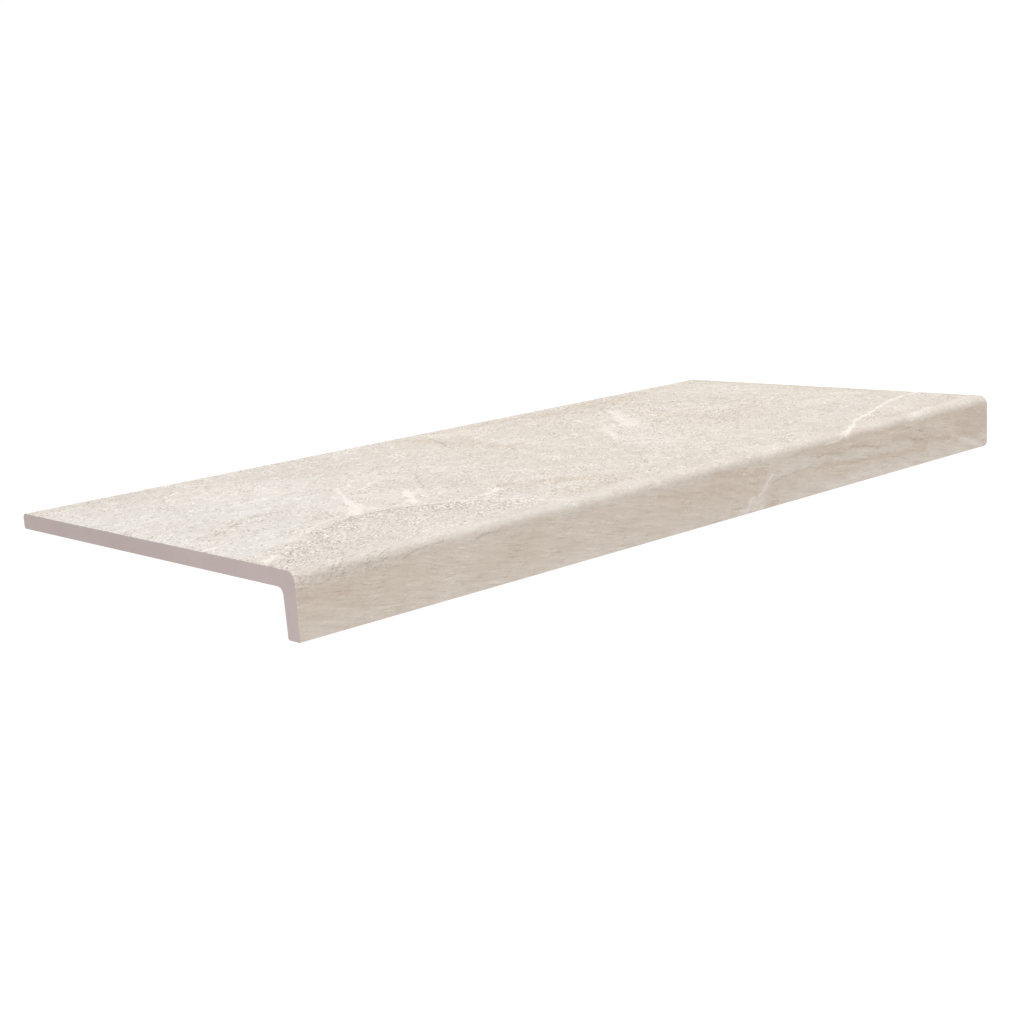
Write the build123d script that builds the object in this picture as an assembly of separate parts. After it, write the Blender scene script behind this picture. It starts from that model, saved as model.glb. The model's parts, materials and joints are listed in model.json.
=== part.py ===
from build123d import *
import math
import os

# A stair tread tile, pressed and fired as one piece of stoneware: a flat plate whose front
# edge turns down into a nosing with a rounded top. It lies unheld on a level floor, on the
# inner edge of the nosing's foot and on the plate's back lower edge.
# +X runs along the tread, +Y from the nosing to the back, +Z up. The origin is the middle of
# the underside of the bounding box. Sizes are in millimetres, angles in degrees.

# Overall sizes
LENGTH = 600.0
DEPTH = 280.0
NOSING_HEIGHT = 35.7

# Section across the tread
PLATE_THICKNESS = 9.4
NOSING_ROOT_WALL = 11.2  # where the nosing leaves the plate
NOSING_FOOT_WALL = 10.0  # along the foot, which stands on the floor
FRONT_DRAFT = 1.0  # the front face leans back towards its foot

# Rounded edges
NOSE_RADIUS = 6.0
ROOT_RADIUS = 4.0
BACK_ARRIS_RADIUS = 2.6
EDGE_RADIUS = 0.8
FOOT_CORNER_RADIUS = 3.0  # at the pressed right-hand end; the left-hand end is sawn square

# Keying relief under the plate, for the adhesive
GROOVE_WIDTH = 8.0
GROOVE_DEPTH = 0.8
GROOVE_PITCH = 14.0
GROOVE_TAPER = 20.0
PLAIN_BORDER = 12.0

# Points of the section, in the level tile: Y 0 at the nose, Z 0 at the walking face
foot_front_y = NOSING_HEIGHT * math.tan(math.radians(FRONT_DRAFT))
foot_inner_y = foot_front_y + NOSING_FOOT_WALL
root_y = PLATE_THICKNESS * math.tan(math.radians(FRONT_DRAFT)) + NOSING_ROOT_WALL
nosing_drop = NOSING_HEIGHT - PLATE_THICKNESS


def tread_section():
    """The L-shaped section, on the YZ plane of the left-hand end."""
    corners = {
        (0, 0): NOSE_RADIUS,
        (foot_front_y, -NOSING_HEIGHT): EDGE_RADIUS,
        (foot_inner_y, -NOSING_HEIGHT): EDGE_RADIUS,
        (root_y, -PLATE_THICKNESS): ROOT_RADIUS,
        (DEPTH, -PLATE_THICKNESS): EDGE_RADIUS,
        (DEPTH, 0): BACK_ARRIS_RADIUS,
    }
    outline = FilletPolyline(*corners, radius=corners.values(), close=True)
    return Plane.YZ * make_face(outline)


def front_elevation():
    """The tile's outline seen from the front, on the XZ plane, with its one rounded corner."""
    corners = {
        (0, 0): 0,
        (0, -NOSING_HEIGHT): 0,
        (LENGTH, -NOSING_HEIGHT): FOOT_CORNER_RADIUS,
        (LENGTH, 0): 0,
    }
    outline = FilletPolyline(*corners, radius=corners.values(), close=True)
    return Plane.XZ * make_face(outline)


def keying_grooves():
    """Shallow blind grooves along the plate's underside, inside a plain border."""
    first_edge = root_y + ROOT_RADIUS + PLAIN_BORDER
    last_edge = DEPTH - PLAIN_BORDER
    count = int((last_edge - first_edge - GROOVE_WIDTH) // GROOVE_PITCH) + 1
    outline = SlotOverall(LENGTH - 2 * PLAIN_BORDER, GROOVE_WIDTH)
    groove = extrude(outline, GROOVE_DEPTH, taper=GROOVE_TAPER)
    middle = Pos(LENGTH / 2, (first_edge + last_edge) / 2, -PLATE_THICKNESS)
    return [middle * row * groove for row in GridLocations(LENGTH, GROOVE_PITCH, 1, count)]


def rest_tilt():
    """How far the tile tips back to lie on its foot's inner edge and its back lower edge.

    Both edges are rounded alike, so the floor is parallel to the line of their centres.
    """
    inner_lean = math.atan2(root_y - foot_inner_y, nosing_drop)
    foot_centre_y = foot_inner_y - EDGE_RADIUS * (1 - math.sin(inner_lean)) / math.cos(inner_lean)
    back_centre_y = DEPTH - EDGE_RADIUS
    return math.degrees(math.atan2(nosing_drop, back_centre_y - foot_centre_y))


def stair_tread_tile():
    """The whole tile, lying at rest with its origin under the middle of its bounding box."""
    body = extrude(tread_section(), LENGTH)
    body &= extrude(front_elevation(), -DEPTH)
    body -= keying_grooves()
    lying = Rot(X=-rest_tilt()) * body
    box = lying.bounding_box()
    return Pos(-box.center().X, -box.center().Y, -box.min.Z) * lying


os.makedirs("parts", exist_ok=True)
export_step(stair_tread_tile(), "parts/stair_tread_tile.step")
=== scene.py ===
import json
import math

import bmesh
import bpy
import numpy as np
from bpy.props import FloatProperty, FloatVectorProperty, PointerProperty
from mathutils import Matrix, Vector


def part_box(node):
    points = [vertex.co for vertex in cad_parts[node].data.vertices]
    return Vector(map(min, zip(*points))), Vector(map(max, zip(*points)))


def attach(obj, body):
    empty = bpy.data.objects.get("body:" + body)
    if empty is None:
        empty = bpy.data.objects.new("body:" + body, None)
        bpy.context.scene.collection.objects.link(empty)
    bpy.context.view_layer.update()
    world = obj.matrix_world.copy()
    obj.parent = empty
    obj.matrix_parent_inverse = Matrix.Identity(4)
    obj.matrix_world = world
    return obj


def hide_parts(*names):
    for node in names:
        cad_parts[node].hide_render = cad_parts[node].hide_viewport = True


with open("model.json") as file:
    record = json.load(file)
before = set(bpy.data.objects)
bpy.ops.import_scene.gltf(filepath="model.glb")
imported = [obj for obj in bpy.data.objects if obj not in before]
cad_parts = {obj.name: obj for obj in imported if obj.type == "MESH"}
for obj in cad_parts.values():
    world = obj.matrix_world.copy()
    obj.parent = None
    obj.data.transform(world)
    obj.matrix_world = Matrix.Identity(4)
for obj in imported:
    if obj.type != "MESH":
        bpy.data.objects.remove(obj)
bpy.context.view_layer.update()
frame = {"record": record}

bl_info = {
    "name": "Stair tread tile",
    "version": (1, 0, 0),
    "blender": (4, 5, 0),
    "location": "3D View > Sidebar > Tread",
    "description": "A fired stair tread tile with a stone-look face and a downturned nosing",
    "category": "Add Mesh",
}

MM = 0.001
TILE_NODE = "stair_tread_tile"
TILE_LOW, TILE_HIGH = (Vector(corner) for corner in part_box(TILE_NODE))
BEDDING = next(mount for mount in frame["record"]["mounts"] if mount["name"] == "bedding_face")

# The tile is drawn level, with X 0 at its left end, Y 0 at the nose and Z 0 at the walking face.
# At rest it is tipped back until the nosing's foot and the plate's back edge meet the floor.
REST_TILT = math.atan2(-BEDDING["axis"][1], -BEDDING["axis"][2])

# The skin: spacing of its points, the band over which the face meets the body, and the angle that
# still counts as round. A groove's ends are rounded by a little less than half its width.
SKIN_STEP = 1.65 * MM
FACE_BAND = 2 * MM
WELD_DISTANCE = 0.02 * MM
SHARP_ANGLE = math.radians(32)
GROOVE_END_SHARE = 0.475
GROOVE_END_POINTS = 9

# Directions of the stone's patterns in degrees, from along the tread towards the back
GRAIN_DIRECTION = 47.0
BEDDING_DIRECTION = -38.0
STROKE_DIRECTION = -40.0
STREAK_DIRECTION = -11.0
SCRATCH_DIRECTION = -10.0
NOSE_GRAIN_DIRECTION = -9.0

# Offset from a line, in half widths, that counts as no line at all
FAR_OFF = 9.0

# Studio: the floor's disc in metres, the brightness of the sky as the camera sees it, and the sensor
FLOOR_RADIUS = 8.0
FLOOR_SIDES = 96
SEEN_SKY = 1.02
SENSOR_WIDTH = 36.0

# Lines of the stone, as (along the tread, back from the nose) in millimetres. The front of the nosing
# carries on from the walking face below 0, as if the face were rolled out flat.
CLEFT_ARCH = [
    (0, 14), (10, 26), (22, 38), (36, 51), (50, 61), (64, 69), (78, 76), (92, 80), (108, 81),
    (126, 76), (141, 68), (156, 58), (169, 45), (180, 25), (192, 0), (205, -24), (225, -40), (600, -40),
]
NOSE_VEIN = [
    (0, -40), (400, -40), (423, 0), (434, 2), (445, 5), (458, 11),
    (473, 21), (501, 31), (524, 40), (543, 48), (566, 55), (600, 58),
]
FACE_LOWEST = -40
FACE_HIGHEST = 290

# Smaller lines: width in millimetres, strength, then the places that each runs through
WHITE_LINES = [
    (5, 0.7, (146, 162), (130, 136), (123, 121)),
    (7, 0.8, (123, 121), (117, 106)),
    (14, 0.85, (117, 106), (108, 94), (102, 85)),
    (4, 0.7, (116, 98), (117, 88), (129, 82), (138, 80)),
    (10, 0.8, (158, 110), (150, 96), (140, 82)),
    (5, 0.55, (164, 121), (156, 106)),
    (5, 0.5, (172, 114), (152, 98)),
    (5, 0.58, (149, 153), (158, 165), (166, 173), (170, 171)),
    (6, 0.66, (149, 144), (155, 146), (162, 152), (172, 157)),
    (12, 0.4, (40, 60), (62, 76), (84, 86), (102, 90)),
    (9, 0.75, (176, 60), (193, 68)),
    (6, 0.4, (171, 43), (179, 26), (187, 6)),
    (9, 0.5, (77, 172), (107, 177), (123, 180)),
    (6, 0.6, (2, 81), (10, 83), (19, 88)),
    (9, 0.7, (5, 31), (15, 38)),
    (26, 0.54, (441, 216), (418, 183), (398, 153)),
    (4, 0.6, (391, 180), (372, 152)),
    (9, 0.65, (372, 152), (353, 127)),
    (4, 0.45, (358, 128), (361, 112), (362, 98)),
    (3.5, 0.55, (403, 220), (395, 202), (388, 184)),
    (6, 0.75, (560, 53), (524, 40)),
    (5, 0.8, (458, 11), (446, 5), (437, 0)),
    (3.5, 0.55, (437, 0), (425, -1), (413, -2)),
    (14, 0.5, (508, 0), (524, 5), (540, 8)),
    (4, 0.5, (533, 44), (537, 37), (518, 15)),
    (6, 0.45, (515, 98), (534, 103)),
    (6, 0.45, (402, 23), (418, 30)),
    (6, 0.52, (334, -31), (339, -26), (347, -23), (352, -18), (359, -14)),
    (9, 0.45, (331, -32), (348, -30)),
    (4.5, 0.4, (554, -18), (574, -25), (590, -30)),
]
CRACK_LINES = [
    (2.6, 0.9, (295, 252), (289, 236), (277, 209)),
    (2.4, 0.8, (199, 153), (187, 134), (170, 108)),
    (2.4, 0.9, (26, 110), (40, 119), (56, 131), (70, 135), (88, 132)),
    (2.2, 0.7, (446, 232), (432, 214)),
    (1.6, 0.9, (358, -18), (378, -15), (400, -14)),
    (1.6, 0.75, (404, -8), (430, -11)),
    (1.6, 0.75, (440, -8), (470, -12)),
    (1.4, 0.8, (500, -12), (522, -15), (548, -19)),
    (1.8, 0.6, (66, -4), (80, -2), (94, -2)),
    (3.5, 0.6, (112, -5), (137, -4)),
]
TAN_LINES = [
    # Partly the print's tan, partly painted shade: this band darkens the face along the back edge and
    # dulls the back arris's highlight.
    (34, 0.35, (320, 266), (610, 266)),
    (60, 0.6, (410, 250), (490, 255)),
    (60, 0.4, (600, 70), (600, 270)),
    (13, 0.8, (308, 243), (304, 217), (291, 183)),
    (50, 0.5, (286, 262), (296, 176)),
    (54, 0.4, (440, 205), (450, 130)),
    (9, 0.6, (416, 194), (396, 166)),
    (50, 0.25, (450, 110), (520, 150)),
    (56, 0.5, (200, 72), (240, 40)),
    (36, 0.45, (200, 20), (250, 22)),
    (34, 0.3, (470, 40), (500, 14)),
    (34, 0.4, (500, 10), (600, 22)),
    (10, 0.45, (380, -3), (540, -3)),
    (14, 0.6, (540, -3), (612, -5)),
    (44, 0.4, (-10, 268), (110, 268)),
    (9, 0.75, (488, -10), (520, -14), (550, -18), (588, -22)),
    (20, 0.85, (566, -11), (612, -14)),
    (8, 0.5, (258, -8), (300, -13), (345, -21)),
    (12, 0.5, (305, -5), (352, -9)),
    (10, 0.5, (0, -11), (30, -14)),
    (6, 0.8, (350, -31), (364, -30)),
    (5, 0.8, (402, -16), (425, -17), (460, -19), (522, -23)),
    (4, 0.7, (404, -8), (432, -11)),
    (4, 0.7, (438, -8), (472, -12)),
]
PALE_LINES = [
    (44, 1.0, (14, 66), (60, 100)),
    (60, 0.65, (0, 112), (50, 150)),
    (200, 0.6, (0, 210), (100, 150)),
    (60, 0.5, (128, 232), (168, 172)),
    (60, 0.25, (100, 130), (160, 112)),
    (56, 0.5, (364, 124), (335, 72)),
    (30, 0.5, (496, 54), (540, 66)),
    # A painted highlight: this faint pale band brightens the top and rounding along the nose.
    (16, 0.25, (64, 3), (112, 3), (190, 1)),
    (16, 0.8, (172, 42), (182, 14), (190, 0)),
    (28, 0.9, (442, 217), (412, 176), (384, 138)),
    (17, 0.7, (380, 164), (356, 130)),
    (7, 0.95, (358, -14), (376, -11), (402, -11), (440, -13)),
    (7, 0.75, (440, -13), (470, -15), (505, -18)),
    (16, 0.5, (410, -29), (570, -32)),
    (13, 0.5, (333, -31), (348, -23), (359, -14)),
]


def length(label, millimetres, words):
    """A size of the tile, in the scene's length unit."""
    return FloatProperty(
        name=label,
        description=words,
        default=millimetres * MM,
        min=0.0,
        precision=5,
        subtype="DISTANCE",
        unit="LENGTH",
    )


def angle(label, degrees, words):
    """An angle of the tile or the studio."""
    return FloatProperty(
        name=label,
        description=words,
        default=math.radians(degrees),
        subtype="ANGLE",
        unit="ROTATION",
    )


def number(label, value, words):
    """A number without a unit."""
    return FloatProperty(name=label, description=words, default=value)


def colour(label, red, green, blue, words):
    """A linear colour of the finish."""
    return FloatVectorProperty(
        name=label,
        description=words,
        default=(red, green, blue),
        min=0.0,
        max=1.0,
        size=3,
        subtype="COLOR",
    )


class TileSizes(bpy.types.PropertyGroup):
    """Sizes of the tile's section, edges and keying grooves."""

    length: length("Length", (TILE_HIGH.x - TILE_LOW.x) / MM, "Along the tread")
    depth: length("Depth", 280, "From the nose to the back edge")
    nosing_height: length("Nosing height", 35.7, "From the walking face to the foot")
    plate: length("Plate", 9.4, "Thickness of the plate")
    root_wall: length("Root wall", 11.2, "Nosing wall where it leaves the plate")
    foot_wall: length("Foot wall", 10, "Nosing wall along its foot")
    nose_radius: length("Nose radius", 6, "Rounding of the nose")
    root_radius: length("Root radius", 4, "Rounding inside the nosing")
    back_arris: length("Back arris", 2.6, "Rounding of the back upper edge")
    edge_radius: length("Edge radius", 0.8, "Rounding of the foot and of the back lower edge")
    foot_corner: length("Foot corner", 3, "Rounding of the foot at the pressed end")
    end_arris: length("End arris", 0.2, "Easing of the face's edge at both ends")
    groove_width: length("Groove width", 8, "Width of a keying groove")
    groove_depth: length("Groove depth", 0.8, "Depth of a keying groove")
    groove_pitch: length("Groove pitch", 14, "From one keying groove to the next")
    border: length("Border", 12, "Plain border round the keying grooves")
    front_draft: angle("Front draft", 1, "Lean of the front face towards the back")
    groove_taper: angle("Groove taper", 20, "Slope of the keying grooves' walls")


class StoneLook(bpy.types.PropertyGroup):
    """Colours and relief of the stone face and the fired body."""

    speck: colour("Speck", 0.235, 0.185, 0.145, "Dark grains of the stone")
    shade: colour("Shade", 0.46, 0.405, 0.353, "Shaded clouds of the stone")
    ground: colour("Ground", 0.60, 0.536, 0.472, "Main tone of the stone")
    cream: colour("Cream", 0.672, 0.615, 0.549, "Pale clouds of the stone")
    vein: colour("Vein", 0.785, 0.745, 0.68, "White veins of the stone")
    body: colour("Body", 0.516, 0.43, 0.41, "Bare fired body")
    relief: length("Relief", 0.14, "Depth of the stone's soft relief")
    cleft: length("Cleft", 0.12, "Depth of the step along the cleft")
    seed: number("Seed", 3.0, "Picks another piece of stone")


class Studio(bpy.types.PropertyGroup):
    """Floor, lights and camera."""

    floor: colour("Floor", 0.09, 0.09, 0.09, "Plain pale floor")
    floor_glow: number("Floor glow", 0.973, "Light from the lit floor itself")
    sky: number("Sky", 0.535, "Strength of the even light all round")
    overhead: number("Overhead", 2.57, "Strength of the broad overhead light")
    spread: angle("Spread", 60, "How wide the overhead light is")
    lens: number("Lens", 59.224, "Focal length on a 36 mm sensor")
    azimuth: angle("Azimuth", -42.624, "Camera's turn round the tile, from straight in front")
    elevation: angle("Elevation", 15.524, "Camera's height over the horizon")
    roll: angle("Roll", -0.282, "Camera's turn about its own axis")
    distance: length("Distance", 972.76, "From the camera to the point that it looks at")
    aim: FloatVectorProperty(
        name="Aim",
        description="Point that the camera looks at",
        default=(-0.10786, -0.08261, 0.018),
        size=3,
        subtype="TRANSLATION",
        unit="LENGTH",
    )


class TreadSettings(bpy.types.PropertyGroup):
    """Everything that a user may change."""

    sizes: PointerProperty(type=TileSizes)
    look: PointerProperty(type=StoneLook)
    studio: PointerProperty(type=Studio)


class Wire:
    """A node's output that takes part in arithmetic by adding Math nodes to its tree."""

    def __init__(self, board, socket):
        self.board = board
        self.socket = socket

    def maths(self, operation, first, second=0.0):
        return self.board.add("ShaderNodeMath", {"operation": operation}, {0: first, 1: second})

    def __add__(self, other):
        return self.maths("ADD", self, other)

    def __sub__(self, other):
        return self.maths("SUBTRACT", self, other)

    def __rsub__(self, other):
        return self.maths("SUBTRACT", other, self)

    def __mul__(self, other):
        return self.maths("MULTIPLY", self, other)

    def __truediv__(self, other):
        return self.maths("DIVIDE", self, other)

    def __rtruediv__(self, other):
        return self.maths("DIVIDE", other, self)

    def __pow__(self, other):
        return self.maths("POWER", self, other)

    def __abs__(self):
        return self.maths("ABSOLUTE", self)

    __radd__ = __add__
    __rmul__ = __mul__


class NodeBoard:
    """Adds nodes to one shader or geometry tree."""

    def __init__(self, tree):
        self.tree = tree

    def add(self, kind, settings=(), inputs=(), output=0):
        """One node with its settings, then the values or links of its sockets; gives one output."""
        return Wire(self, self.end(kind, inputs, settings).outputs[output])

    def end(self, kind, inputs, settings=()):
        """One node with its settings, then the values or links of its sockets."""
        node = self.tree.nodes.new(kind)
        for name, value in dict(settings).items():
            if name == "stops":
                set_stops(node.color_ramp, value)
            elif name == "points":
                set_points(node.mapping, value)
            else:
                setattr(node, name, value)
        for name, value in dict(inputs).items():
            for item in value if isinstance(value, list) else [value]:
                if isinstance(item, Wire):
                    self.tree.links.new(item.socket, node.inputs[name])
                else:
                    node.inputs[name].default_value = item
        return node

    def noise(self, place, per_metre, detail=3.0, rough=0.55, twist=0.0, output="Fac"):
        """Fractal noise, with so many features in a metre."""
        sockets = {"Vector": place, "Scale": per_metre, "Detail": detail, "Roughness": rough}
        return self.add("ShaderNodeTexNoise", (), sockets | {"Distortion": twist}, output)

    def ramp(self, value, low, high, to_low=0.0, to_high=1.0):
        """A smooth step from one value to another."""
        sockets = {"Value": value, 1: low, 2: high, 3: to_low, 4: to_high}
        return self.add("ShaderNodeMapRange", {"interpolation_type": "SMOOTHSTEP"}, sockets)

    def mix(self, factor, first, second, blend="MIX"):
        """Two colours mixed by a factor."""
        settings = {"data_type": "RGBA", "blend_type": blend}
        return self.add("ShaderNodeMix", settings, {0: factor, 6: first, 7: second}, 2)

    def vector(self, operation, first, second, output=0):
        """Vector arithmetic."""
        return self.add("ShaderNodeVectorMath", {"operation": operation}, {0: first, 1: second}, output)

    def scaled(self, vector, factor):
        """A vector made longer or shorter."""
        return self.add("ShaderNodeVectorMath", {"operation": "SCALE"}, {0: vector, "Scale": factor})

    def moved(self, vector, factors, shift):
        """A vector with each of its parts multiplied, then shifted."""
        sockets = {0: vector, 1: factors, 2: shift}
        return self.add("ShaderNodeVectorMath", {"operation": "MULTIPLY_ADD"}, sockets)


def set_stops(ramp, stops):
    """Gives a colour ramp these (place, colour) stops."""
    while len(ramp.elements) < len(stops):
        ramp.elements.new(1.0)
    for element, (place, value) in zip(ramp.elements, stops):
        element.position = place
        element.color = (*value, 1.0)


def set_points(mapping, points):
    """Gives a float curve these points and a level run past both ends."""
    curve = mapping.curves[0]
    mapping.extend = "HORIZONTAL"
    while len(curve.points) < len(points):
        curve.points.new(0.5, 0.5)
    for point, place in zip(curve.points, points):
        point.location = place
    mapping.update()


def rounded_corner(before, corner, after, radius, step):
    """Points of the arc that rounds one corner, from tangent point to tangent point."""
    to_before = (before - corner).normalized()
    to_after = (after - corner).normalized()
    half = to_before.angle(to_after) / 2
    centre = corner + (to_before + to_after).normalized() * radius / math.sin(half)
    start = corner + to_before * radius / math.tan(half) - centre
    end = corner + to_after * radius / math.tan(half) - centre
    turn = math.pi - 2 * half
    count = max(3, math.ceil(radius * turn / step))
    shares = [i / count for i in range(count + 1)]
    return [
        centre + (start * math.sin((1 - k) * turn) + end * math.sin(k * turn)) / math.sin(turn)
        for k in shares
    ]


def section_rows(sizes, step):
    """Rows of the section, from the nosing's root round its foot and over the face to the back edge.

    Gives their (y, z), which of the strips between them are stone face, and the row where the
    flat of the walking face begins.
    """
    lean = math.tan(sizes.front_draft)
    foot_front = sizes.nosing_height * lean
    corners = [
        (Vector((sizes.plate * lean + sizes.root_wall, -sizes.plate)), sizes.root_radius),
        (Vector((foot_front + sizes.foot_wall, -sizes.nosing_height)), sizes.edge_radius),
        (Vector((foot_front, -sizes.nosing_height)), sizes.edge_radius),
        (Vector((0, 0)), sizes.nose_radius),
        (Vector((sizes.depth, 0)), sizes.back_arris),
        (Vector((sizes.depth, -sizes.plate)), sizes.edge_radius),
    ]
    foot_front_corner, nose_corner, back_corner = 2, 3, 4
    coarse = 4 * step
    rows, stone = [], []
    flat_begins = 0
    for i, (corner, radius) in enumerate(corners):
        before, after = corners[i - 1][0], corners[(i + 1) % len(corners)][0]
        arc = rounded_corner(before, corner, after, radius, step * 0.6)
        if rows:
            run = arc[0] - rows[-1]
            on_face = i in (nose_corner, back_corner)
            parts = math.ceil(run.length / (step if on_face else coarse))
            last = rows[-1]
            rows += [last + run * k / parts for k in range(1, parts)]
            stone += [on_face] * parts
        rows += arc
        stone += [i in (foot_front_corner, nose_corner, back_corner)] * (len(arc) - 1)
        if i == nose_corner:
            flat_begins = len(rows) - 1
    return np.array(rows), np.array(stone), flat_begins


def column_places(sizes, step):
    """Places along the tread, closer together round the foot's corner and at both ends."""
    radius = sizes.foot_corner
    plain = sizes.length - radius
    count = math.ceil(plain / step)
    turns = [math.radians(degrees) for degrees in (18, 36, 54, 72, 90)]
    places = [plain * k / count for k in range(count + 1)]
    places += [plain + radius * math.sin(turn) for turn in turns]
    places.insert(1, sizes.end_arris)
    return np.array(places)


def blank_mesh(sizes, step):
    """The tile's skin, level, open along the plate's underside between its last and first rows."""
    rows, stone, flat_begins = section_rows(sizes, step)
    places = column_places(sizes, step)
    along = np.gradient(rows, axis=0)
    along /= np.linalg.norm(along, axis=1, keepdims=True)
    outward = np.column_stack((-along[:, 1], along[:, 0]))
    outward *= np.sign(outward[flat_begins, 1])
    run = np.concatenate(([0.0], np.cumsum(np.linalg.norm(np.diff(rows, axis=0), axis=1))))
    developed = rows[flat_begins, 0] + run - run[flat_begins]
    face_rows = np.flatnonzero(np.append(stone, False) | np.append(False, stone))
    first, last = developed[face_rows[[0, -1]]]
    from_border = np.minimum(developed - first, last - developed)
    on_face = np.clip(from_border / FACE_BAND, 0, 1)

    x = np.repeat(places[:, None], len(rows), axis=1)
    y = np.repeat(rows[None, :, 0], len(places), axis=0)
    z = np.repeat(rows[None, :, 1], len(places), axis=0)
    past = np.clip(x - (sizes.length - sizes.foot_corner), 0, None)
    lift = sizes.foot_corner - np.sqrt(np.clip(sizes.foot_corner**2 - past**2, 0, None))
    bend = -sizes.nosing_height + 2 * sizes.foot_corner
    share = np.clip((bend - z) / (2 * sizes.foot_corner), 0, 1)
    z = z + lift * share
    eased = np.zeros(len(places))
    eased[[0, -1]] = sizes.end_arris
    y = y - eased[:, None] * on_face * outward[:, 0]
    z = z - eased[:, None] * on_face * outward[:, 1]

    across = len(rows)
    corner = np.arange(len(places) - 1)[:, None] * across + np.arange(across - 1)[None, :]
    quads = np.stack((corner, corner + 1, corner + across + 1, corner + across), axis=-1)
    left_end = list(range(across))
    right_end = [(len(places) - 1) * across + row for row in reversed(range(across))]
    mesh = bpy.data.meshes.new("tile_blank")
    corners = np.stack((x, y, z), axis=-1).reshape(-1, 3)
    mesh.from_pydata(corners.tolist(), [], quads.reshape(-1, 4).tolist() + [left_end, right_end])
    face_flags = np.append(np.tile(stone, len(places) - 1), [False, False])
    store(mesh, "stone_face", "BOOLEAN", "FACE", face_flags)
    still = np.zeros_like(x)
    store(mesh, "print", "FLOAT_VECTOR", "POINT", np.stack((x, still + developed, still), axis=-1))
    facing = np.stack((still, still + outward[:, 0], still + outward[:, 1]), axis=-1)
    store(mesh, "outward", "FLOAT_VECTOR", "POINT", facing)
    store(mesh, "on_face", "FLOAT", "POINT", still + on_face)
    return mesh


def store(mesh, name, kind, domain, values):
    """Keeps values as a named attribute of the mesh."""
    field = {"FLOAT_VECTOR": "vector"}.get(kind, "value")
    attribute = mesh.attributes.new(name, kind, domain)
    attribute.data.foreach_set(field, np.ascontiguousarray(values).ravel())


class GeometryTree:
    """A geometry node tree with named inputs, set on the modifier that it is given to."""

    def __init__(self, name):
        self.tree = bpy.data.node_groups.new(name, "GeometryNodeTree")
        self.tree.interface.new_socket("Geometry", in_out="INPUT", socket_type="NodeSocketGeometry")
        self.tree.interface.new_socket("Geometry", in_out="OUTPUT", socket_type="NodeSocketGeometry")
        self.board = NodeBoard(self.tree)
        self.inlet = self.tree.nodes.new("NodeGroupInput")
        self.values = {}

    def geometry(self):
        return Wire(self.board, self.inlet.outputs["Geometry"])

    def value(self, name, value, kind="NodeSocketFloat"):
        """A named input and the value that the modifier gives it."""
        socket = self.tree.interface.new_socket(name, in_out="INPUT", socket_type=kind)
        self.values[socket.identifier] = value
        return Wire(self.board, self.inlet.outputs[name])

    def attribute(self, name, kind="FLOAT"):
        return self.board.add("GeometryNodeInputNamedAttribute", {"data_type": kind}, {"Name": name})

    def finish(self, geometry, stone, body):
        """Ends the tree: realized, with the stone face and the fired body in their materials."""
        board = self.board
        geometry = board.add("GeometryNodeRealizeInstances", (), {"Geometry": geometry})
        geometry = board.add("GeometryNodeSetMaterial", (), {"Geometry": geometry, "Material": body})
        on_face = self.attribute("stone_face", "BOOLEAN")
        sockets = {"Geometry": geometry, "Selection": on_face, "Material": stone}
        geometry = board.add("GeometryNodeSetMaterial", (), sockets)
        board.end("NodeGroupOutput", {"Geometry": geometry})

    def put_on(self, piece):
        modifier = piece.modifiers.new(self.tree.name, "NODES")
        modifier.node_group = self.tree
        for identifier, value in self.values.items():
            modifier[identifier] = value


def line_of_stone(board, along, points, sizes):
    """How far back from the nose a line of the stone runs, at each place along the tread."""
    reach = FACE_HIGHEST - FACE_LOWEST
    shares = [(x * MM / sizes.length, (y - FACE_LOWEST) / reach) for x, y in points]
    share = board.add("ShaderNodeFloatCurve", {"points": shares}, {"Value": along / sizes.length})
    return share * (reach * MM) + FACE_LOWEST * MM


def nearer_line_group():
    """A node group that weighs one straight run of a line against the nearest line so far."""
    tree = bpy.data.node_groups.new("Nearer line", "GeometryNodeTree")
    kinds = {
        "Place": "Vector",
        "Start": "Vector",
        "Run": "Vector",
        "Half width": "Float",
        "Faintness": "Float",
        "Nearest": "Vector",
        "Nearest off": "Float",
    }
    for name, kind in kinds.items():
        tree.interface.new_socket(name, in_out="INPUT", socket_type=f"NodeSocket{kind}")
    for name in ("Nearest", "Nearest off"):
        tree.interface.new_socket(name, in_out="OUTPUT", socket_type=f"NodeSocket{kinds[name]}")
    board = NodeBoard(tree)
    inlet = tree.nodes.new("NodeGroupInput")
    wires = [Wire(board, inlet.outputs[name]) for name in kinds]
    place, start, run, half, faint, nearest, nearest_off = wires
    from_start = board.vector("SUBTRACT", place, start)
    share = board.vector("DOT_PRODUCT", from_start, run, "Value")
    share = share / board.vector("DOT_PRODUCT", run, run, "Value")
    foot = board.scaled(run, board.add("ShaderNodeClamp", (), {"Value": share}))
    aside = board.scaled(board.vector("SUBTRACT", from_start, foot), 1 / half)
    off = board.vector("LENGTH", aside, (0.0, 0.0, 0.0), "Value") + faint
    settings = {"data_type": "FLOAT", "operation": "LESS_THAN"}
    closer = board.add("FunctionNodeCompare", settings, {0: off, 1: nearest_off})
    aside = board.vector("ADD", aside, board.add("ShaderNodeCombineXYZ", (), {"Z": faint}))
    sockets = {"Switch": closer, "False": nearest, "True": aside}
    nearest = board.add("GeometryNodeSwitch", {"input_type": "VECTOR"}, sockets)
    nearest_off = board.add("ShaderNodeMath", {"operation": "MINIMUM"}, {0: nearest_off, 1: off})
    board.end("NodeGroupOutput", {"Nearest": nearest, "Nearest off": nearest_off})
    return tree


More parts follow.
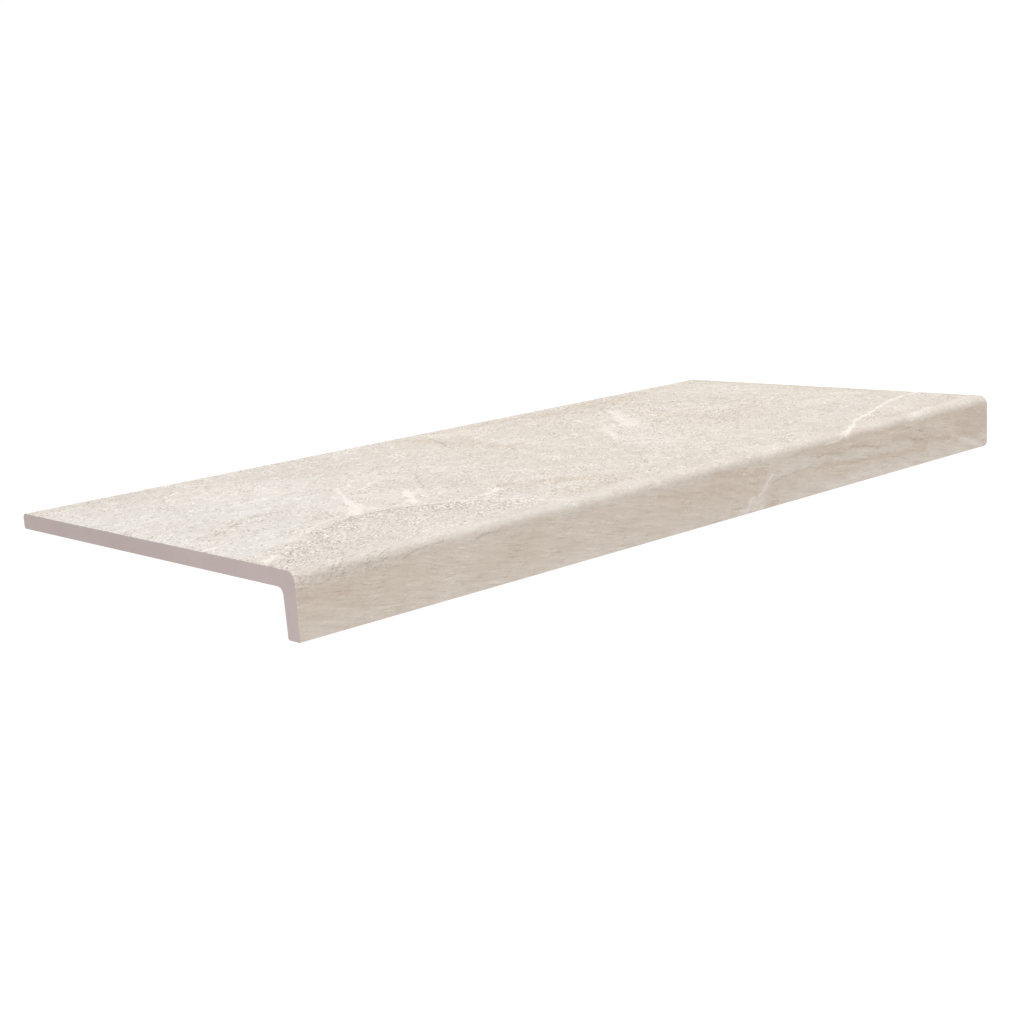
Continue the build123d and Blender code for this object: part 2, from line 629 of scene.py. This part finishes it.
def off_lines(board, group, place, lines):
    """Where a place lies off its nearest line, in half widths, and how faint that line is."""
    nearest, nearest_off = (FAR_OFF, FAR_OFF, 1.0), FAR_OFF
    for wide, strength, *points in lines:
        for start, end in zip(points, points[1:]):
            start, end = Vector((*start, 0)) * MM, Vector((*end, 0)) * MM
            sockets = {"Place": place, "Start": start, "Run": end - start, "Half width": wide * MM / 2}
            sockets |= {"Faintness": 1 - strength, "Nearest": nearest, "Nearest off": nearest_off}
            nearest = board.add("GeometryNodeGroup", {"node_tree": group}, sockets, "Nearest")
            nearest_off = Wire(board, nearest.socket.node.outputs["Nearest off"])
    return nearest


def relief_tree(sizes, look, stone, body):
    """Sinks the stone face into its soft relief, and keeps where the lines of the stone run."""
    nodes = GeometryTree("Stone relief")
    board = nodes.board
    depth = nodes.value("Relief depth", look.relief)
    cleft_depth = nodes.value("Cleft depth", look.cleft)
    seed = nodes.value("Seed", look.seed)
    place = nodes.attribute("print", "FLOAT_VECTOR")
    along = board.add("ShaderNodeSeparateXYZ", (), {0: place}, "X")
    back = board.add("ShaderNodeSeparateXYZ", (), {0: place}, "Y")
    lifted = board.add("ShaderNodeCombineXYZ", (), {"X": along, "Y": back, "Z": seed})
    wander = board.noise(lifted, 70.0, 4.0, 0.62, output="Color")
    wander = board.vector("SUBTRACT", wander, (0.5, 0.5, 0.5))
    wander = board.vector("MULTIPLY", wander, (10 * MM, 9 * MM, 0.0))
    ragged = board.vector("ADD", place, wander)
    sway = board.add("ShaderNodeSeparateXYZ", (), {0: wander}, "Y")
    group = nearer_line_group()
    fields = {
        "cleft": back - line_of_stone(board, along, CLEFT_ARCH, sizes) + sway * 0.6,
        "nose_vein": back - line_of_stone(board, along, NOSE_VEIN, sizes) + sway * 0.4,
        "white_off": off_lines(board, group, ragged, WHITE_LINES),
        "crack_off": off_lines(board, group, ragged, CRACK_LINES),
        "tan_off": off_lines(board, group, ragged, TAN_LINES),
        "pale_off": off_lines(board, group, ragged, PALE_LINES),
    }
    cleft = fields["cleft"]
    swell = board.noise(lifted, 34.0, 4.0, 0.6)
    grit = board.noise(lifted, 210.0, 2.0, 0.6)
    hollow = board.ramp(cleft, -0.9 * MM, 0.9 * MM, 1.0, 0.0) * board.ramp(cleft, -60 * MM, -6 * MM)
    sink = (1 - swell) * depth + (1 - grit) * depth * 0.45 + hollow * cleft_depth
    sink = sink * nodes.attribute("on_face")
    outward = nodes.attribute("outward", "FLOAT_VECTOR")
    offset = board.scaled(outward, sink * -1.0)
    sockets = {"Geometry": nodes.geometry(), "Offset": offset}
    geometry = board.add("GeometryNodeSetPosition", (), sockets)
    for name, value in fields.items():
        kind = "FLOAT_VECTOR" if name.endswith("_off") else "FLOAT"
        sockets = {"Geometry": geometry, "Name": name, "Value": value}
        settings = {"data_type": kind, "domain": "POINT"}
        geometry = board.add("GeometryNodeStoreNamedAttribute", settings, sockets)
    nodes.finish(geometry, stone, body)
    return nodes


def keying_tree(sizes, stone, body):
    """Closes the open underside with a flat face and its row of blind keying grooves."""
    nodes = GeometryTree("Keyed underside")
    board = nodes.board
    root = sizes.plate * math.tan(sizes.front_draft) + sizes.root_wall
    first_edge = root + sizes.root_radius + sizes.border
    last_edge = sizes.depth - sizes.border
    count = int((last_edge - first_edge - sizes.groove_width) // sizes.groove_pitch) + 1
    middle = (first_edge + last_edge) / 2
    start = middle - sizes.groove_pitch * (count - 1) / 2
    width = nodes.value("Groove width", sizes.groove_width)
    deep = nodes.value("Groove depth", sizes.groove_depth)
    inset = nodes.value("Groove wall", sizes.groove_depth * math.tan(sizes.groove_taper))
    groove_length = nodes.value("Groove length", sizes.length - 2 * sizes.border)
    pitch = nodes.value("Groove pitch", sizes.groove_pitch)
    copies = nodes.value("Groove count", count, "NodeSocketInt")
    underside = nodes.value("Underside", -sizes.plate)
    open_edge = board.add("GeometryNodeInputMeshEdgeNeighbors")
    settings = {"data_type": "INT", "operation": "EQUAL"}
    is_open = board.add("FunctionNodeCompare", settings, {2: open_edge, 3: 1})
    rim = board.add("GeometryNodeMeshToCurve", (), {"Mesh": nodes.geometry(), "Selection": is_open})

    sockets = {"Width": groove_length, "Height": width}
    outline = board.add("GeometryNodeCurvePrimitiveQuadrilateral", (), sockets)
    sockets = {"Curve": outline, "Count": GROOVE_END_POINTS, "Radius": width * GROOVE_END_SHARE}
    sockets["Limit Radius"] = True
    outline = board.add("GeometryNodeFilletCurve", {"mode": "POLY"}, sockets)
    floor = board.add("GeometryNodeFillCurve", {"mode": "NGONS"}, {"Curve": outline})
    upward = board.add("ShaderNodeCombineXYZ", (), {"Z": deep})
    sockets = {"Mesh": floor, "Offset": upward, "Offset Scale": 1.0, "Individual": False}
    extrusion = board.add("GeometryNodeExtrudeMesh", {"mode": "FACES"}, sockets)
    top = Wire(board, extrusion.socket.node.outputs["Top"])
    spot = board.add("GeometryNodeInputPosition")
    spot_x = board.add("ShaderNodeSeparateXYZ", (), {0: spot}, "X")
    spot_z = board.add("ShaderNodeSeparateXYZ", (), {0: spot}, "Z")
    half_axis = (groove_length - width) / 2
    sockets = {"Value": spot_x, "Min": half_axis * -1.0, "Max": half_axis}
    axis_x = board.add("ShaderNodeClamp", (), sockets)
    axis_spot = board.add("ShaderNodeCombineXYZ", (), {"X": axis_x, "Z": spot_z})
    inwards = board.vector("SUBTRACT", axis_spot, spot)
    inwards = board.add("ShaderNodeVectorMath", {"operation": "NORMALIZE"}, {0: inwards})
    inwards = board.scaled(inwards, inset)
    sockets = {"Geometry": extrusion, "Selection": top, "Offset": inwards}
    groove = board.add("GeometryNodeSetPosition", (), sockets)

    step = board.add("ShaderNodeCombineXYZ", (), {"Y": pitch})
    sockets = {"Count": copies, "Start Location": (sizes.length / 2, start, 0.0), "Offset": step}
    spots = board.add("GeometryNodeMeshLine", (), sockets)
    grooves = board.add("GeometryNodeInstanceOnPoints", (), {"Points": spots, "Instance": groove})
    outlines = board.add("GeometryNodeInstanceOnPoints", (), {"Points": spots, "Instance": outline})
    outlines = board.add("GeometryNodeRealizeInstances", (), {"Geometry": outlines})
    edges = board.add("GeometryNodeJoinGeometry", (), {"Geometry": [rim, outlines]})
    flat = board.add("GeometryNodeFillCurve", {"mode": "TRIANGLES"}, {"Curve": edges})
    grooves = board.add("GeometryNodeRealizeInstances", (), {"Geometry": grooves})
    below = board.add("GeometryNodeJoinGeometry", (), {"Geometry": [flat, grooves]})
    lower = board.add("ShaderNodeCombineXYZ", (), {"Z": underside})
    below = board.add("GeometryNodeTransform", (), {"Geometry": below, "Translation": lower})
    whole = board.add("GeometryNodeJoinGeometry", (), {"Geometry": [nodes.geometry(), below]})
    sockets = {"Geometry": whole, "Distance": WELD_DISTANCE}
    whole = board.add("GeometryNodeMergeByDistance", (), sockets)
    nodes.finish(whole, stone, body)
    return nodes


def rest_matrix(sizes):
    """From the level tile to where it lies at rest, with the CAD tile's box."""
    turn = Matrix.Rotation(-REST_TILT, 4, "X")
    bedding = Vector(BEDDING["pos_m"])
    level = turn @ Vector((sizes.length / 2, sizes.depth - sizes.border / 2, -sizes.plate))
    return Matrix.Translation(bedding - level) @ turn


def new_material(name):
    """An empty node material and its board."""
    material = bpy.data.materials.new(name)
    material.use_nodes = True
    material.node_tree.nodes.clear()
    return material, NodeBoard(material.node_tree)


def put_shader(board, sockets, settings=()):
    """The surface's shader and the material's output."""
    shader = board.add("ShaderNodeBsdfPrincipled", settings, sockets)
    board.end("ShaderNodeOutputMaterial", {"Surface": shader})


def mineral_grains(board, place, per_metre):
    """Grains of the stone: two chance values for each, and how far off its middle a point is."""
    cells = {"Vector": place, "Scale": per_metre, "Randomness": 1.0}
    colour_of_grain = board.add("ShaderNodeTexVoronoi", {"feature": "F1"}, cells, "Color")
    off_middle = Wire(board, colour_of_grain.socket.node.outputs["Distance"])
    first = board.add("ShaderNodeSeparateColor", (), {0: colour_of_grain}, "Red")
    second = Wire(board, first.socket.node.outputs["Green"])
    return first, second, off_middle


def off_line(board, name, jag):
    """How far off its nearest line a point is, in half widths, with a jagged edge.

    A faint line counts as further off.
    """
    aside = board.add("ShaderNodeAttribute", {"attribute_name": name}, output="Vector")
    faint = board.add("ShaderNodeSeparateXYZ", (), {0: aside}, "Z")
    across = board.moved(aside, (1.0, 1.0, 0.0), jag)
    return board.vector("LENGTH", across, (0.0, 0.0, 0.0), "Value") + faint


def turned(board, place, degrees, stretch):
    """Coordinates for a pattern drawn out along one direction of the stone."""
    rotation = (0.0, 0.0, math.radians(degrees))
    sockets = {"Vector": place, "Rotation": rotation, "Scale": (stretch, 1.0, 1.0)}
    return board.add("ShaderNodeMapping", {"vector_type": "TEXTURE"}, sockets)


def dashes(board, value, light=1.0):
    """Short light strokes less short dark ones, from a drawn-out noise."""
    return board.ramp(value, 0.56, 0.68, 0.0, light) - board.ramp(value, 0.32, 0.44, 1.0, 0.0)


def stone_face_material(look):
    """Printed stone: clouds, grain, a grainy hollow under a cleft, white veins, a streaked front, and
    painted light and shade.
    """
    material, board = new_material("stone_face")
    place = board.add("ShaderNodeAttribute", {"attribute_name": "print"}, output="Vector")
    cleft = board.add("ShaderNodeAttribute", {"attribute_name": "cleft"}, output="Fac")
    nose_vein = board.add("ShaderNodeAttribute", {"attribute_name": "nose_vein"}, output="Fac")
    along = board.add("ShaderNodeSeparateXYZ", (), {0: place}, "X")
    back = board.add("ShaderNodeSeparateXYZ", (), {0: place}, "Y")
    on_front = board.ramp(back, -7 * MM, 3 * MM, 1.0, 0.0)
    on_top = 1 - on_front

    # In front of the nose the grains are squeezed, so that they stay dots over its curve.
    before_nose = board.add("ShaderNodeMath", {"operation": "MINIMUM"}, {0: back - 9 * MM, 1: 0.0})
    grain_place = board.add("ShaderNodeCombineXYZ", (), {"X": along, "Y": back + before_nose * 1.4})
    grain_place = turned(board, grain_place, GRAIN_DIRECTION, 2.0)
    flecks = board.noise(grain_place, 280.0, 3.0, 0.7)
    fleck_colour = Wire(board, flecks.socket.node.outputs["Color"])
    jag = board.moved(fleck_colour, (1.8, 1.8, 0.0), (-0.9, -0.9, 0.0))
    soft_jag = board.moved(fleck_colour, (1.0, 1.0, 0.0), (-0.5, -0.5, 0.0))
    white_off = off_line(board, "white_off", jag)
    white_lines = board.ramp(white_off, 0.4, 0.95, 0.62, 0.0)
    white_lines = white_lines + board.ramp(white_off, 0.2, 2.0, 0.25, 0.0)
    crack_off = off_line(board, "crack_off", jag)
    cracks = board.ramp(crack_off, 0.5, 1.3, 1.0, 0.0)
    near_crack = board.ramp(crack_off, 1.0, 7.0, 1.0, 0.0) * on_top
    tan = board.ramp(off_line(board, "tan_off", soft_jag), 0.2, 1.3, 1.0, 0.0)
    pale = board.ramp(off_line(board, "pale_off", soft_jag), 0.3, 1.25, 1.0, 0.0)

    clouds = board.noise(place, 15.0, 5.0, 0.6, 0.4)
    bedding = turned(board, place, BEDDING_DIRECTION, 1.4)
    patches = board.noise(turned(board, place, GRAIN_DIRECTION, 1.3), 95.0, 4.0, 0.65, 0.5)
    clusters = board.noise(place, 60.0, 4.0, 0.7, 0.5)
    gritty = board.ramp(clusters, 0.42, 0.6)
    edge_width = board.ramp(along, 40 * MM, 100 * MM, 6 * MM, 1.0 * MM)
    rough_cleft = cleft + (flecks - 0.5) * (4 * MM)
    hollow = board.ramp(rough_cleft / edge_width, -1.0, 1.0, 1.0, 0.0) * on_top
    hollow_edge = board.ramp(cleft, -34 * MM, -2 * MM) * hollow
    dots_reach = board.ramp(along, 60 * MM, 120 * MM, -90 * MM, -42 * MM)
    dotted = board.ramp(cleft, dots_reach, -2 * MM) * hollow
    dotted = dotted * board.ramp(along, 0.0, 30 * MM, 0.6, 1.0)
    dotted = dotted * board.ramp(along, 130 * MM, 180 * MM, 1.0, 0.2)

    layers = board.noise(bedding, 13.0, 5.0, 0.62, 0.8) * 7.0
    layer = layers.maths("FRACT", layers)
    layer_side = board.ramp(layer, 0.0, 0.05) * (1 - layer)
    layer_shows = board.ramp(clouds, 0.44, 0.58) * on_top * (1 - hollow)
    strokes = board.noise(turned(board, place, STROKE_DIRECTION, 4.0), 260.0, 3.0, 0.6, 0.3)
    strokes = dashes(board, strokes) * on_top * (1.1 - gritty)
    strokes = strokes * board.ramp(along, 60 * MM, 200 * MM, 0.2, 1.0)

    sway = (board.noise(place, 30.0, 2.0) - 0.5) * (5 * MM)
    swayed = board.add("ShaderNodeCombineXYZ", (), {"X": along, "Y": back + sway})
    streaks = board.noise(turned(board, swayed, STREAK_DIRECTION, 9.0), 260.0, 4.0, 0.65, 0.3)
    scratches = board.noise(turned(board, swayed, SCRATCH_DIRECTION, 11.0), 960.0, 2.0, 0.6)
    scratches = dashes(board, scratches, 0.8)

    rim_side = board.ramp(along, 95 * MM, 135 * MM) * on_top
    rim_side = rim_side * board.ramp(along, 172 * MM, 190 * MM, 1.0, 0.0)
    rim = board.ramp(abs(rough_cleft - 2.0 * MM), 0.8 * MM, 3.0 * MM, 1.0, 0.0)
    rim = rim * rim_side * board.ramp(flecks + patches, 0.85, 1.1, 0.3, 1.0)
    vein_width = board.ramp(patches, 0.4, 0.6, 1.0 * MM, 3.4 * MM)
    vein_off = abs(nose_vein + (flecks - 0.5) * (7 * MM)) / vein_width
    vein = board.ramp(vein_off, 0.3, 1.0, 1.0, 0.0) * board.ramp(along, 423 * MM, 440 * MM)
    ridges = board.noise(place, 24.0, 5.0, 0.65, 0.8)
    ridge = board.ramp(abs(ridges - 0.5), 0.002, 0.016, 1.0, 0.0) * on_top
    ridge = ridge * board.ramp(patches, 0.46, 0.6)
    white = white_lines * board.ramp(flecks + patches, 0.8, 1.02, 0.6, 1.0)
    for part in (rim * 0.75, vein * 0.9, ridge * 0.5 * (1 - hollow)):
        white = board.add("ShaderNodeMath", {"operation": "MAXIMUM"}, {0: white, 1: part})

    behind_nose = board.ramp(back, 2 * MM, 14 * MM)
    sand = mineral_grains(board, grain_place, 1300.0)[0]
    grit, grit_fleck, grit_off = mineral_grains(board, grain_place, 700.0)
    left_end = board.ramp(along, 30 * MM, 80 * MM, 1.0, 0.0) * board.ramp(back, -10 * MM, -2 * MM)
    off_nose = board.ramp(back, -4 * MM, 14 * MM, 0.25, 1.0)
    off_nose = (off_nose + left_end * 0.6 * (1 - behind_nose)) * (1 - white * 0.9)
    rear_right = board.ramp(along, 300 * MM, 430 * MM) * board.ramp(back, 60 * MM, 140 * MM)
    rear_right = rear_right * board.ramp(along, 480 * MM, 580 * MM, 1.0, -0.2)
    coarse = (0.18 + gritty * 0.5 + hollow_edge * 0.4 + rear_right * 0.2 - pale * 0.15) * off_nose
    grains = ((sand**0.5 - 0.667) + (grit - 0.5) * 0.4) * coarse
    dark_share = 0.02 + gritty * 0.06 + near_crack * 0.2 + hollow * 0.05
    dark_share = dark_share * board.ramp(back, 4 * MM, 18 * MM) + left_end * 0.1
    dark_share = dark_share + dotted * 0.45 * board.ramp(back, 0.0, 14 * MM)
    dark_share = dark_share * (1 - white * 0.7)
    dark_grain = board.ramp(dark_share - grit_fleck, 0.0, 0.02)
    dark_grain = dark_grain * board.ramp(grit_off, 0.25, 0.6, 1.0, 0.0)
    dark_grain = dark_grain * board.ramp(flecks, 0.38, 0.6, 0.45, 1.0)

    broad = board.ramp(back, -10 * MM, 22 * MM, 0.65, 1.0)
    fleck = (flecks - 0.5) * behind_nose
    patch = (patches - 0.5) * (0.45 + 0.25 * behind_nose)
    on_nose = board.ramp(back, -14 * MM, -2 * MM) * (1 - behind_nose)
    nose_grain = board.noise(turned(board, place, NOSE_GRAIN_DIRECTION, 2.4), 420.0, 3.0, 0.75)
    nose_grain = (nose_grain - 0.5) * on_nose
    front_lines = (streaks - 0.5) * 0.68 + scratches * 0.25 * (0.5 + gritty * 0.6)
    tone = 0.5 + (clouds - 0.5) * 0.48 * broad + patch * 0.66 - hollow * 0.02
    tone = tone + fleck * 0.38 + nose_grain * 0.42 + strokes * 0.08
    tone = tone + (layer_side - 0.5) * 0.22 * layer_shows + front_lines * on_front

    stops = [(0.1, look.shade), (0.42, look.ground), (0.66, look.cream), (0.95, look.vein)]
    stone = board.add("ShaderNodeValToRGB", {"stops": stops}, {"Fac": tone})
    cooler = board.ramp(along, 0.0, 380 * MM, 1.0, 0.0) * on_top
    # Painted light: the lowest part of the front is made lighter and cooler, standing in for light
    # thrown up from the floor.
    low = board.ramp(back, -33 * MM, -20 * MM, 1.0, 0.0)
    tints = (
        (cooler, (0.988, 1.006, 1.027)),
        (pale, (1.04, 1.075, 1.105)),
        (tan, (0.915, 0.88, 0.84)),
        # Partly the print's own warmer colour, partly painted shade: the front is made browner and a
        # little darker than the top.
        (on_front, (0.98, 0.935, 0.895)),
        (low, (1.055, 1.07, 1.095)),
    )
    for share, tint in tints:
        stone = board.mix(share, stone, board.mix(1.0, stone, (*tint, 1.0), "MULTIPLY"))
    stone = board.mix(white, stone, (*look.vein, 1.0))
    stone = board.mix(1.0, stone, board.moved(grains, (0.94, 1.0, 1.1), (1.0, 1.0, 1.0)), "MULTIPLY")
    apex = board.ramp(along, 80 * MM, 105 * MM) * board.ramp(along, 145 * MM, 175 * MM, 1.0, 0.0)
    cleft_line = board.ramp(abs(rough_cleft), 0.5 * MM, 1.8 * MM, 1.0, 0.0) * apex
    cracks = board.add("ShaderNodeMath", {"operation": "MAXIMUM"}, {0: cracks, 1: cleft_line})
    dark = dark_grain * 0.6 + cracks * board.ramp(flecks, 0.38, 0.58) * (0.42 - on_front * 0.17)
    stone = board.mix(dark, stone, (*look.speck, 1.0))
    height = grains * 0.8 + fleck * 0.6 + white * 0.2 - dark * 0.6
    sockets = {"Strength": 0.3, "Distance": 0.3 * MM, "Height": height}
    bump = board.add("ShaderNodeBump", (), sockets, "Normal")
    rough = 0.52 + grains * 0.2 + hollow * 0.06
    put_shader(board, {"Base Color": stone, "Roughness": rough, "Normal": bump, "IOR": 1.5})
    return material


def fired_body_material(look):
    """Bare fired body: even mauve grey with faint cloud, fine grit and pits, and painted light and
    shade that make it lighter towards the nose and darker towards the back.
    """
    material, board = new_material("fired_body")
    place = board.add("ShaderNodeTexCoord", output="Object")
    cloud = board.noise(place, 45.0, 3.0, 0.55)
    grit = board.noise(place, 900.0, 2.0, 0.7)
    from_middle = board.add("ShaderNodeSeparateXYZ", (), {0: place}, "Y")
    # Painted light and shade: the body's tone rises towards the nose and falls towards the back.
    painted_falloff = board.ramp(from_middle, -140 * MM, 40 * MM, 0.14, -0.11)
    tone = 0.5 + (cloud - 0.5) * 0.35 + (grit - 0.5) * 0.4 + painted_falloff
    darker = tuple(0.86 * value for value in look.body)
    lighter = tuple(min(1.0, 1.12 * value) for value in look.body)
    skin = board.add("ShaderNodeValToRGB", {"stops": [(0.2, darker), (0.8, lighter)]}, {"Fac": tone})
    sockets = {"Strength": 0.25, "Distance": 0.2 * MM, "Height": grit}
    bump = board.add("ShaderNodeBump", (), sockets, "Normal")
    rough = 0.72 + (grit - 0.5) * 0.2
    put_shader(board, {"Base Color": skin, "Roughness": rough, "Normal": bump})
    return material


def close_skin(mesh):
    """Turns every face outwards, smooths what is round, and stops if the skin isn't closed."""
    skin = bmesh.new()
    skin.from_mesh(mesh)
    bmesh.ops.recalc_face_normals(skin, faces=skin.faces)
    open_edges = sum(len(edge.link_faces) != 2 for edge in skin.edges)
    skin.to_mesh(mesh)
    skin.free()
    if open_edges:
        raise RuntimeError(f"the tile's skin has {open_edges} open edges")
    mesh.shade_smooth()
    mesh.set_sharp_from_angle(angle=SHARP_ANGLE)


class TREAD_OT_tile(bpy.types.Operator):
    """Make the fired tile in place of the plain solid"""

    bl_idname = "tread.tile"
    bl_label = "Stair tread tile"

    def execute(self, context):
        sizes = context.scene.tread.sizes
        look = context.scene.tread.look
        stone, body = stone_face_material(look), fired_body_material(look)
        blank = bpy.data.objects.new("tile_blank", blank_mesh(sizes, SKIN_STEP))
        context.collection.objects.link(blank)
        relief_tree(sizes, look, stone, body).put_on(blank)
        keying_tree(sizes, stone, body).put_on(blank)
        shown = blank.evaluated_get(context.evaluated_depsgraph_get())
        mesh = bpy.data.meshes.new_from_object(shown)
        bpy.data.objects.remove(blank)
        mesh.transform(rest_matrix(sizes))
        close_skin(mesh)
        tile = bpy.data.objects.new("stair_tread_tile_fired", mesh)
        context.collection.objects.link(tile)
        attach(tile, "root")
        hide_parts(TILE_NODE)
        return {"FINISHED"}


class TREAD_OT_studio(bpy.types.Operator):
    """Make the floor, the lights and the camera"""

    bl_idname = "tread.studio"
    bl_label = "Studio"

    def execute(self, context):
        scene = context.scene
        studio = scene.tread.studio
        scene.view_settings.view_transform = "Standard"
        self.floor(context, studio)
        self.lights(context, studio)
        self.camera(context, studio)
        return {"FINISHED"}

    def floor(self, context, studio):
        """A plain pale disc that glows as a lit studio floor does."""
        material, board = new_material("pale_floor")
        finish = {"Base Color": (*studio.floor, 1.0), "Roughness": 0.9, "Specular IOR Level": 0.1}
        glow = {"Emission Color": (1.0, 1.0, 1.0, 1.0), "Emission Strength": studio.floor_glow}
        put_shader(board, finish | glow)
        skin = bmesh.new()
        bmesh.ops.create_circle(skin, cap_ends=True, radius=FLOOR_RADIUS, segments=FLOOR_SIDES)
        mesh = bpy.data.meshes.new("pale_floor")
        skin.to_mesh(mesh)
        skin.free()
        mesh.materials.append(material)
        floor = bpy.data.objects.new("pale_floor", mesh)
        context.collection.objects.link(floor)

    def lights(self, context, studio):
        """Even light all round and one broad light from straight above."""
        world = bpy.data.worlds.new("even_light")
        world.use_nodes = True
        world.node_tree.nodes.clear()
        board = NodeBoard(world.node_tree)
        seen = board.add("ShaderNodeLightPath", output="Is Camera Ray")
        strength = seen * (SEEN_SKY - studio.sky) + studio.sky
        sockets = {"Color": (1.0, 1.0, 1.0, 1.0), "Strength": strength}
        sky = board.add("ShaderNodeBackground", (), sockets)
        board.end("ShaderNodeOutputWorld", {"Surface": sky})
        context.scene.world = world
        lamp = bpy.data.lights.new("overhead", "SUN")
        lamp.angle = studio.spread
        lamp.energy = studio.overhead
        overhead = bpy.data.objects.new("overhead", lamp)
        context.collection.objects.link(overhead)

    def camera(self, context, studio):
        """The camera, at the photo's viewing angle."""
        azimuth, elevation = studio.azimuth, studio.elevation
        level = math.cos(elevation)
        back = Vector((math.sin(azimuth) * level, -math.cos(azimuth) * level, math.sin(elevation)))
        right = Vector((0, 0, 1)).cross(back).normalized()
        up = back.cross(right)
        turn = Matrix((right, up, back)).transposed() @ Matrix.Rotation(studio.roll, 3, "Z")
        data = bpy.data.cameras.new("photo_camera")
        data.sensor_width = SENSOR_WIDTH
        data.lens = studio.lens
        camera = bpy.data.objects.new("photo_camera", data)
        spot = Vector(studio.aim) + back * studio.distance
        camera.matrix_world = Matrix.LocRotScale(spot, turn, None)
        context.collection.objects.link(camera)
        context.scene.camera = camera


class TREAD_PT_panel(bpy.types.Panel):
    """Sizes, finish and studio of the tile."""

    bl_label = "Stair tread tile"
    bl_idname = "TREAD_PT_panel"
    bl_space_type = "VIEW_3D"
    bl_region_type = "UI"
    bl_category = "Tread"

    def draw(self, context):
        for group in ("sizes", "look", "studio"):
            values = getattr(context.scene.tread, group)
            column = self.layout.column(heading=group.title())
            for name in values.__annotations__:
                column.prop(values, name)
        for operator in (TREAD_OT_tile, TREAD_OT_studio):
            self.layout.operator(operator.bl_idname)


CLASSES = (
    TileSizes,
    StoneLook,
    Studio,
    TreadSettings,
    TREAD_OT_tile,
    TREAD_OT_studio,
    TREAD_PT_panel,
)


def register():
    for each in CLASSES:
        bpy.utils.register_class(each)
    bpy.types.Scene.tread = PointerProperty(type=TreadSettings)


def unregister():
    del bpy.types.Scene.tread
    for each in reversed(CLASSES):
        bpy.utils.unregister_class(each)


def main():
    register()
    bpy.ops.tread.tile()
    bpy.ops.tread.studio()


if __name__ == "__main__":
    main()
